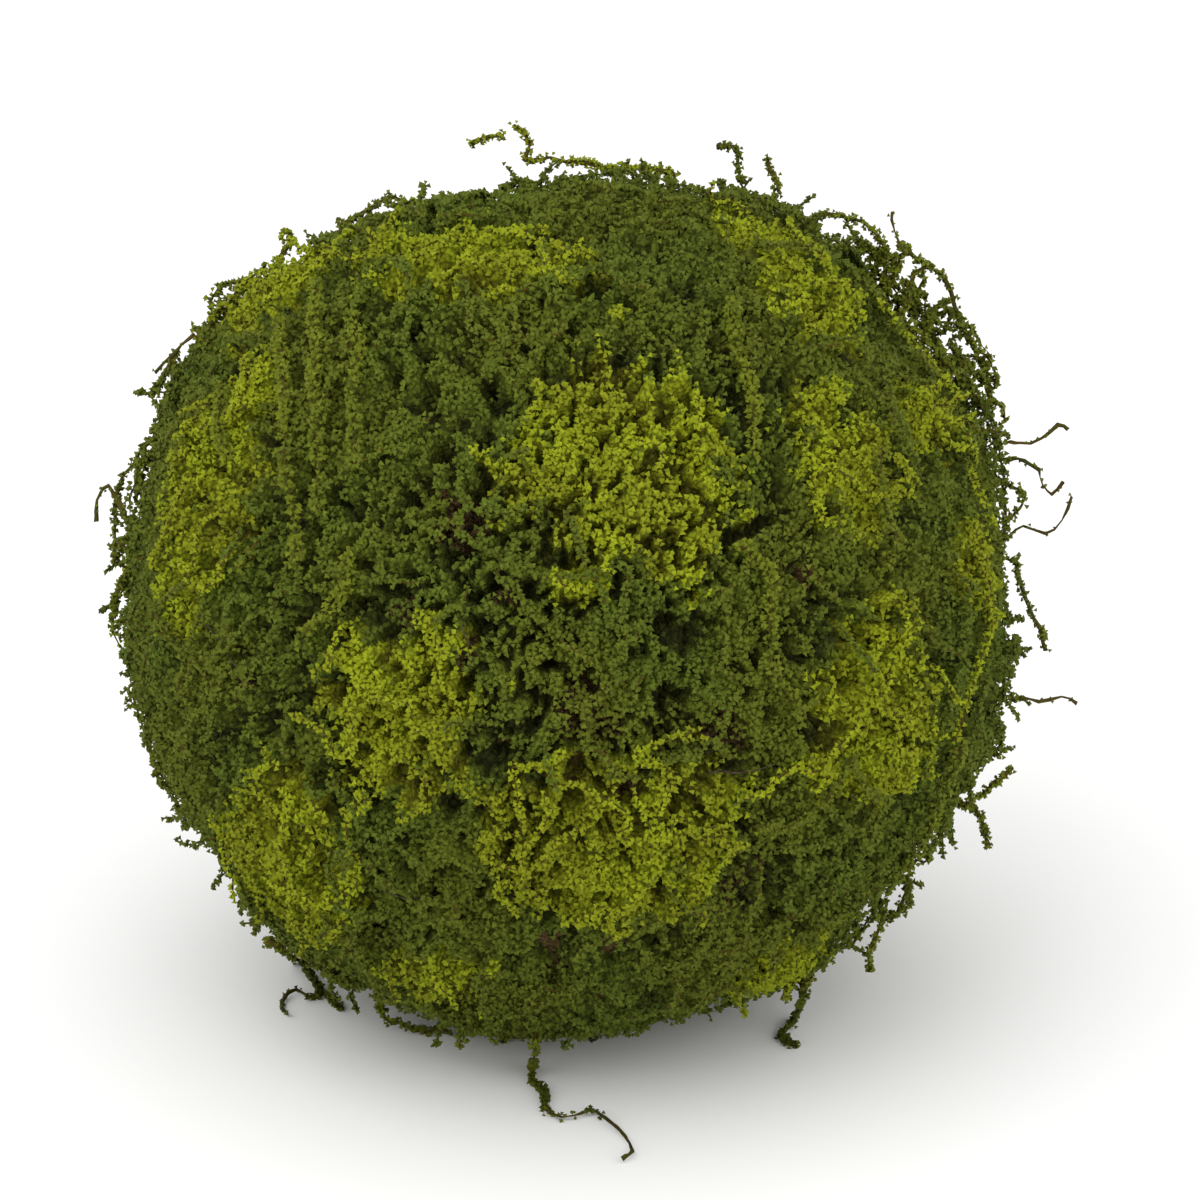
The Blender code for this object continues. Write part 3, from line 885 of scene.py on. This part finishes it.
def light_moss():
    return moss_material("light_moss_crumbs", *light_shades())


def mixed_moss(name, light_share):
    """Moss of a shade between the dark and the light."""
    dark, light = settings().dark_colour, settings().light_colour
    shade = tuple((1.0 - light_share) * a + light_share * b for a, b in zip(dark, light))
    return moss_material(name, shade, scaled(dark, 1.1), 70.0)


def strand_moss():
    return mixed_moss("strand_crumbs", 0.38)


def rope_moss():
    return mixed_moss("rope_crumbs", 0.2)


def stem_bark():
    colour = settings().stem_colour
    return moss_material("stem_bark", colour, scaled(colour, 1.3, 0.9, 1.0), 120.0, 0.03)


def fibre_shade(tree, place):
    """Streaky brown of root fibre, and the streaks."""
    colour = settings().core_colour
    streak = noise_texture(tree, place, 800.0, 4.0, Distortion=1.5)
    stops = [(0.32, scaled(colour, 0.2)), (0.5, colour), (0.68, scaled(colour, 1.9))]
    return ramp(tree, streak, stops), streak


def bed_material():
    """Matted leaflets in granules: light or dark as the moss above them, and brown in openings, with
    painted shade in the crevices between the granules and a painted highlight on their middles.
    """
    material, tree, shader = new_material("moss_bed", 0.9)
    place = object_place(tree)
    warped = place + wobble(tree, place, 900.0, 1.0, 0.9 * MM)
    granules = add_node(tree, "ShaderNodeTexVoronoi", {"Vector": warped, "Scale": 1150.0}).outputs
    tint = output(tree, "ShaderNodeSeparateColor", {0: granules["Color"]})
    dark = patchy_moss(tree, *dark_shades(), tint)
    light = patchy_moss(tree, *light_shades(), tint)
    edge = noise_texture(tree, place, 500.0, 2.0) - 0.5
    share = remap(tree, attribute_value(tree, "light") + edge, 0.4, 0.6)
    colour = mix_colours(tree, share, dark["Colour"], light["Colour"])
    bare = remap(tree, attribute_value(tree, "opening") + edge * 1.5, 0.35, 0.55)
    brown, _ = fibre_shade(tree, place)
    colour = mix_colours(tree, bare, colour, brown)
    # Painted shade in the crevices between the granules, and a painted highlight on their middles
    stops = [(0.22, (1.25,) * 3), (0.48, (0.95,) * 3), (0.7, (0.5,) * 3)]
    granule_painted_shade = ramp(tree, granules["Distance"], stops)
    colour = mix_colours(tree, 1.0, colour, granule_painted_shade, "MULTIPLY")
    grain = bump(tree, 0.9, 0.6 * MM, 1.0 - Field(granules["Distance"]))
    feed(shader, {"Base Color": colour, "Roughness": dark["Roughness"], "Normal": grain})
    return material


def core_material():
    """Brown root fibre and litter."""
    if "core_fibre" in bpy.data.materials:
        return bpy.data.materials["core_fibre"]
    material, tree, shader = new_material("core_fibre", 0.95, 0.1)
    shade, streak = fibre_shade(tree, object_place(tree))
    feed(shader, {"Base Color": shade, "Normal": bump(tree, 0.6, 0.4 * MM, streak)})
    return material


def twig_material():
    """Dull grey-brown bark."""
    material, tree, shader = new_material("bare_twig", 0.8)
    mottle = noise_texture(tree, object_place(tree), 700.0, 2.0)
    shade = ramp(tree, mottle, [(0.35, (0.02, 0.016, 0.008)), (0.65, (0.06, 0.048, 0.024))])
    feed(shader, {"Base Color": shade, "Normal": bump(tree, 0.5, 0.1 * MM, mottle)})
    return material


# Pieces


def new_object(name, data):
    obj = bpy.data.objects.new(name, data)
    bpy.context.scene.collection.objects.link(obj)
    return obj


def join_up(obj, slot, *nodes):
    """Fixes a finished piece to the clump's body and hides the CAD nodes that it stands for. The slot is
    not used.
    """
    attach(obj, BODY)
    if nodes:
        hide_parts(*nodes)


def grow_coat(name, weight, slot, values, *nodes):
    """Grows a coat of crumbs over the skin where weight is over 0, as one finished piece."""
    if "coat tree" not in made:
        made["coat tree"] = crumb_coat_tree()
    chosen = settings()
    patch = skin().patch(name, weight)
    grow(patch, made["coat tree"], {
        "Crumb size": chosen.crumb_size,
        "Rope spacing": chosen.rope_spacing,
        "Gap depth": chosen.gap_depth,
        "Loose layer": chosen.loose_layer,
        **values,
    })
    join_up(patch, slot, *nodes)


class MOSSCLUMP_OT_fibre_core(bpy.types.Operator):
    """Make the brown fibre core, flat below and rough all over"""

    bl_idname = "mossclump.fibre_core"
    bl_label = "Fibre core"

    def execute(self, context):
        low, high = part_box(CORE_NODE)
        middle = Vector((0.0, 0.0, high.z - (high.x - low.x) / 2))
        outside, _ = tree_of_nodes([CORE_NODE])
        shape = bmesh.new()
        bmesh.ops.create_icosphere(shape, subdivisions=5, radius=1.0)
        for vertex in shape.verts:
            unit = vertex.co.normalized()
            place = outside.ray_cast(middle + unit * 0.2, -unit)[0]
            rough = noise.noise(place / (5 * MM)) * 0.7 + noise.noise(place / (2 * MM)) * 0.5
            raised = smoothstep(1 * MM, 6 * MM, place.z)
            vertex.co = place + unit * (rough * MM + 0.3 * MM) * float(raised)
            vertex.co.z = max(vertex.co.z, 0.0)
        mesh = bpy.data.meshes.new("fibre_core_rough")
        shape.to_mesh(mesh)
        shape.free()
        mesh.shade_smooth()
        core = new_object("fibre_core_rough", mesh)
        mesh.materials.append(core_material())
        join_up(core, "brown_fibre", CORE_NODE)
        return {"FINISHED"}


class MOSSCLUMP_OT_moss_bed(bpy.types.Operator):
    """Make the matted bed of moss that the crumbs stand on, in ropes with gaps and pits between them"""

    bl_idname = "mossclump.moss_bed"
    bl_label = "Moss bed"

    def execute(self, context):
        coat, chosen = skin(), settings()
        bed = coat.patch("moss_bed", np.maximum(coat.above_base, 0.01))
        grow(bed, bed_tree(), {
            "Rope spacing": chosen.rope_spacing,
            "Gap depth": chosen.gap_depth,
            "Depth": 0.5 * MM,
            "Material": bed_material(),
        }, leafy=False)
        thinner = bed.modifiers.new("thinner", "DECIMATE")
        thinner.ratio = BED_KEPT
        settle(bed)
        for vertex in bed.data.vertices:
            vertex.co.z = max(vertex.co.z, 0.0)
        join_up(bed, "dark_moss", MAT_NODE)
        return {"FINISHED"}


class MOSSCLUMP_OT_litter(bpy.types.Operator):
    """Strew brown root litter where the core shows through the moss"""

    bl_idname = "mossclump.litter"
    bl_label = "Brown litter"

    def execute(self, context):
        coat = skin()
        grow_coat("core_litter", coat.opening * coat.above_base, "brown_fibre", {
            "Density": 1.8,
            "Crumb size": 0.9 * settings().crumb_size,
            "Loose layer": 0.8 * MM,
            "Rise": -1.6 * MM,
            "Bare openings": 0.0,
            "Bake cells": 100.0,
            "Seed": 90,
            "Material": core_material(),
        })
        return {"FINISHED"}


class MOSSCLUMP_OT_dark_moss(bpy.types.Operator):
    """Grow the dark moss in sectors round the clump"""

    bl_idname = "mossclump.dark_moss"
    bl_label = "Dark moss"

    def execute(self, context):
        coat = skin()
        azimuth = np.degrees(np.arctan2(coat.units[:, 0], -coat.units[:, 1]))
        for number, (name, (start, end)) in enumerate(SECTORS.items()):
            within = (azimuth >= start) & (azimuth < end)
            weight = within * (1.0 - 0.96 * coat.light) * coat.above_base * coat.seen_share
            grow_coat("dark_moss_" + name, weight, "dark_moss", {
                "Density": settings().dark_density,
                "Rise": 0.5 * MM,
                "Bake cells": 210.0,
                "Seed": 100 + number,
                "Material": dark_moss(),
            })
        return {"FINISHED"}


class MOSSCLUMP_OT_light_tufts(bpy.types.Operator):
    """Grow the light tufts, one piece for each CAD tuft"""

    bl_idname = "mossclump.light_tufts"
    bl_label = "Light tufts"

    def execute(self, context):
        coat = skin()
        for number, name in enumerate(TUFT_NODES):
            weight = np.where(coat.owner == name, coat.light, 0.0) * coat.above_base
            grow_coat(name + "_moss", weight, "light_moss", {
                "Density": settings().light_density,
                "Rise": 0.6 * MM,
                "Bake cells": 90.0,
                "Seed": 200 + number,
                "Material": light_moss(),
            }, name)
        return {"FINISHED"}


class MOSSCLUMP_OT_strings(bpy.types.Operator):
    """Lay long curly stems over the moss, and stand short ones up off it"""

    bl_idname = "mossclump.strings"
    bl_label = "Curly stems"

    def execute(self, context):
        coat, chosen = skin(), settings()
        tree = string_tree()
        dark_share = (1.0 - coat.light) * coat.above_base * (coat.places[:, 2] > 8 * MM)
        light_share = coat.light * coat.above_base * (coat.places[:, 2] > 8 * MM)
        shared = {
            "Crumb size": chosen.crumb_size,
            "Stem radius": chosen.stem_radius,
            "Stem material": stem_bark(),
        }
        lying = {
            "Length": 22 * MM,
            "Lift": 0.7 * MM,
            "Arch": 0.0,
            "Wander": 8 * MM,
            "Spread": 0.6 * MM,
            "Crumbs to a millimetre": 4.0,
            "Bake cells": 200.0,
        }
        standing = {
            "Length": 7 * MM,
            "Lift": -0.8 * MM,
            "Arch": 4.5 * MM,
            "Wander": 3 * MM,
            "Spread": 0.45 * MM,
            "Crumbs to a millimetre": 3.0,
            "Bake cells": 130.0,
        }
        for name, weight, density, shape, material, slot, seed in (
            ("dark_stems_lying", dark_share, 0.0028, lying, dark_moss(), "dark_moss", 301),
            ("light_stems_lying", light_share, 0.003, lying, light_moss(), "light_moss", 302),
            ("dark_stems_standing", dark_share, 0.0065, standing, dark_moss(), "dark_moss", 303),
            ("light_stems_standing", light_share, 0.0055, standing, light_moss(), "light_moss", 304),
        ):
            patch = coat.patch(name, weight)
            values = {"Density": density, "Seed": seed, "Material": material}
            grow(patch, tree, {**shared, **shape, **values})
            join_up(patch, slot)
        return {"FINISHED"}


class MOSSCLUMP_OT_strands(bpy.types.Operator):
    """Dress each loose strand of the CAD model with crumbs"""

    bl_idname = "mossclump.strands"
    bl_label = "Loose strands"

    def execute(self, context):
        chosen = settings()
        tree = strand_tree()
        for number, name in enumerate(STRAND_NODES):
            shape = bmesh.new()
            shape.from_mesh(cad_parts[name].data)
            bmesh.ops.remove_doubles(shape, verts=shape.verts, dist=0.01 * MM)
            mesh = bpy.data.meshes.new(name)
            shape.to_mesh(mesh)
            shape.free()
            mesh.shade_smooth()
            if name == TAIL_NODE:
                far_out = [float(smoothstep(*TAIL_BARE_PAST, -vertex.co.y)) for vertex in mesh.vertices]
                mesh.attributes.new("bare", "FLOAT", "POINT").data.foreach_set("value", far_out)
            strand = new_object(name + "_leafy", mesh)
            bare = name in BARE_STRANDS
            grow(strand, tree, {
                "Crumbs": 0.9 if bare else 6.5,
                "Spread": 0.35 * MM if bare else 0.55 * MM,
                "Crumb size": chosen.crumb_size * (0.75 if bare else 0.85),
                "Thinner by": 0.2 * MM if name in THIN_STRANDS else 0.4 * MM if bare else 0.33 * MM,
                "Crook": 0.9 * MM,
                "Seed": 400 + number,
                "Material": light_moss() if name in LIGHT_STRANDS else strand_moss(),
                "Stem material": stem_bark(),
            })
            join_up(strand, "moss_stem", name)
        return {"FINISHED"}


def net_routes():
    """Short crooked stems that cross each other inside the outline of the net."""
    chance = random.Random(11)
    clocks, lifts = zip(*NET_OUTLINE)
    degree = COAT_RADIUS * math.radians(1.0) / MM
    routes = []
    for _ in range(NET_STEMS):
        clock = chance.uniform(clocks[0] + 2, clocks[-1])
        lift = chance.uniform(0.0, 1.0) * np.interp(clock, clocks, lifts)
        forward = chance.uniform(-6.0, 1.0)
        heading = chance.uniform(0.0, 2.0 * math.pi)
        stations = []
        for _ in range(5):
            stations.append((clock, float(np.clip(lift, -0.5, np.interp(clock, clocks, lifts))), forward))
            heading += chance.uniform(-0.9, 0.9)
            clock += NET_STEP * math.cos(heading) / degree
            lift += NET_STEP * math.sin(heading)
            forward += chance.uniform(-0.8, 0.8)
        routes.append([off_rim(*station) for station in stations])
    return routes


def roots_of(mesh):
    """Routes down into the bed from where a strand meets the clump, and one where it only comes near."""
    lifts = []
    for vertex in mesh.vertices:
        unit = (vertex.co - COAT_CENTRE).normalized()
        lifts.append(((vertex.co - on_coat(unit, 0.0)).dot(unit), vertex.co.copy(), unit))
    routes = []
    for lift, place, unit in sorted(lifts, key=lambda entry: entry[0]):
        reach = 2.0 * MM if routes else 5.0 * MM
        if lift < reach and all((place - route[0]).length > 7 * MM for route in routes):
            near = [other for _, other, _ in lifts if (other - place).length < 1.2 * MM]
            start = sum(near, Vector()) / len(near)
            routes.append([start + unit * 0.2 * MM, start - unit * 2 * MM, start - unit * 5 * MM])
    return routes


def bridge(first, second):
    """A route between two strands where they come nearest each other."""
    firsts, seconds = (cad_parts[name].data.vertices for name in (first, second))
    pairs = ((a.co, b.co) for a in firsts for b in seconds)
    start, end = min(pairs, key=lambda pair: (pair[0] - pair[1]).length)
    middle = (start + end) / 2
    return [start.copy(), Vector((middle.x, middle.y, 0.6 * MM)), end.copy()]


def tubes(name, routes, radius):
    """An object of round tubes along these routes, each narrower towards its far end."""
    noise.seed_set(BEND_SEED)
    curve = bpy.data.curves.new(name, "CURVE")
    curve.dimensions = "3D"
    curve.bevel_depth = radius
    curve.bevel_resolution = 0
    curve.resolution_u = 5
    curve.use_fill_caps = True
    for route in routes:
        spline = curve.splines.new("BEZIER")
        spline.bezier_points.add(len(route) - 1)
        for number, (point, place) in enumerate(zip(spline.bezier_points, route)):
            point.co = place
            point.handle_left_type = point.handle_right_type = "AUTO"
            point.radius = 1.0 - 0.5 * number / (len(route) - 1)
    draft = new_object(name + "_draft", curve)
    graph = bpy.context.evaluated_depsgraph_get()
    mesh = bpy.data.meshes.new_from_object(draft.evaluated_get(graph), depsgraph=graph)
    for vertex in mesh.vertices:
        place = vertex.co.copy()
        bend = noise.noise_vector(place / (7 * MM)) * 1.1 * MM
        vertex.co += bend + noise.noise_vector(place / (3 * MM)) * 0.4 * MM
    bpy.data.objects.remove(draft)
    bpy.data.curves.remove(curve)
    return new_object(name, mesh)


class MOSSCLUMP_OT_ropes(bpy.types.Operator):
    """Hang ropes of dark moss over the clump, and stand short curls on its rim"""

    bl_idname = "mossclump.ropes"
    bl_label = "Hanging ropes and curls"

    def execute(self, context):
        chosen = settings()
        tree = strand_tree()
        hanging = [[on_coat(direction(*turn), 1.0 * MM) for turn in route] for route in HANGING_ROPES]
        curls = [[off_rim(*station) for station in route] for route in RIM_CURLS]
        curls.append(bridge("floor_strand_left_tip", "floor_strand_left"))
        roots = [route for name in STRAND_NODES for route in roots_of(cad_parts[name].data)]
        for name, routes, radius, crumbs, spread, material, slot, seed in (
            ("hanging_ropes", hanging, 0.4 * MM, 12.0, 1.1 * MM, rope_moss(), "dark_moss", 500),
            ("rim_curls", curls, 0.45 * MM, 6.0, 0.65 * MM, strand_moss(), "moss_stem", 501),
            ("shoulder_net", net_routes(), 0.4 * MM, 5.0, 0.6 * MM, strand_moss(), "moss_stem", 502),
            ("strand_roots", roots, 0.35 * MM, 5.0, 0.8 * MM, strand_moss(), "moss_stem", 503),
        ):
            rope = tubes(name, routes, radius)
            grow(rope, tree, {
                "Crumbs": crumbs,
                "Spread": spread,
                "Crumb size": chosen.crumb_size,
                "Thinner by": 0.1 * MM,
                "Crook": 1.2 * MM,
                "Bake cells": 80.0,
                "Seed": seed,
                "Material": material,
                "Stem material": stem_bark(),
            })
            join_up(rope, slot)
        return {"FINISHED"}


class MOSSCLUMP_OT_twigs(bpy.types.Operator):
    """Lay a few bare twigs on the moss"""

    bl_idname = "mossclump.twigs"
    bl_label = "Bare twigs"

    def execute(self, context):
        routes = [[on_coat(direction(*turn), 0.2 * MM) for turn in route] for route in TWIGS]
        twigs = tubes("bare_twigs", routes, 0.21 * MM)
        twigs.data.materials.clear()
        twigs.data.materials.append(twig_material())
        twigs.data.shade_smooth()
        join_up(twigs, "moss_stem")
        return {"FINISHED"}


class MOSSCLUMP_OT_stage(bpy.types.Operator):
    """Set the pale floor, the soft lights and the camera"""

    bl_idname = "mossclump.stage"
    bl_label = "Stage"

    def execute(self, context):
        scene, chosen = context.scene, settings()
        bpy.ops.mesh.primitive_plane_add(size=4.0)
        floor = context.object
        floor.name = "floor"
        material, _, shader = new_material("pale_floor", 0.9)
        shader.inputs["Base Color"].default_value = (0.86, 0.86, 0.85, 1.0)
        floor.data.materials.append(material)
        world = bpy.data.worlds.new("soft_room")
        scene.world = world
        world.use_nodes = True
        background = world.node_tree.nodes["Background"].inputs
        background["Color"].default_value = (1.0, 1.0, 1.0, 1.0)
        background["Strength"].default_value = ROOM_LIGHT
        for name, azimuth, elevation, distance, size, power in LAMPS:
            light = bpy.data.lights.new(name, "AREA")
            light.size = size
            light.energy = power
            lamp = new_object(name, light)
            away = direction(azimuth, elevation)
            lamp.location = COAT_CENTRE + away * distance
            lamp.rotation_euler = away.to_track_quat("Z", "Y").to_euler()
        camera = bpy.data.cameras.new("camera")
        camera.lens = chosen.camera_lens
        camera.clip_start = 0.01
        eye = new_object("camera", camera)
        lean = chosen.camera_elevation
        eye.rotation_euler = Euler((math.pi / 2 - lean, 0.0, 0.0))
        back = Vector((0.0, -math.cos(lean), math.sin(lean)))
        up = Vector((0.0, math.sin(lean), math.cos(lean)))
        distance = chosen.view_width * chosen.camera_lens / camera.sensor_width
        eye.location = LOOK_AT + up * VIEW_RAISED + back * distance
        scene.camera = eye
        scene.view_settings.view_transform = "Standard"
        return {"FINISHED"}


class MOSSCLUMP_PT_panel(bpy.types.Panel):
    """Lists the steps that build the clump"""

    bl_idname = "MOSSCLUMP_PT_panel"
    bl_label = "Moss clump"
    bl_space_type = "VIEW_3D"
    bl_region_type = "UI"
    bl_category = "Moss"

    def draw(self, context):
        for name in ClumpSettings.__annotations__:
            self.layout.prop(context.scene.moss_clump, name)
        for operator in OPERATORS:
            self.layout.operator(operator.bl_idname)


OPERATORS = (
    MOSSCLUMP_OT_stage,
    MOSSCLUMP_OT_fibre_core,
    MOSSCLUMP_OT_moss_bed,
    MOSSCLUMP_OT_litter,
    MOSSCLUMP_OT_dark_moss,
    MOSSCLUMP_OT_light_tufts,
    MOSSCLUMP_OT_strings,
    MOSSCLUMP_OT_strands,
    MOSSCLUMP_OT_ropes,
    MOSSCLUMP_OT_twigs,
)
CLASSES = (ClumpSettings, *OPERATORS, MOSSCLUMP_PT_panel)


def register():
    for each in CLASSES:
        bpy.utils.register_class(each)
    bpy.types.Scene.moss_clump = bpy.props.PointerProperty(type=ClumpSettings)


def unregister():
    del bpy.types.Scene.moss_clump
    for each in reversed(CLASSES):
        bpy.utils.unregister_class(each)


def main():
    register()
    bpy.ops.mossclump.stage()
    bpy.ops.mossclump.fibre_core()
    bpy.ops.mossclump.moss_bed()
    bpy.ops.mossclump.litter()
    bpy.ops.mossclump.dark_moss()
    bpy.ops.mossclump.light_tufts()
    bpy.ops.mossclump.strings()
    bpy.ops.mossclump.strands()
    bpy.ops.mossclump.ropes()
    bpy.ops.mossclump.twigs()


if __name__ == "__main__":
    main()
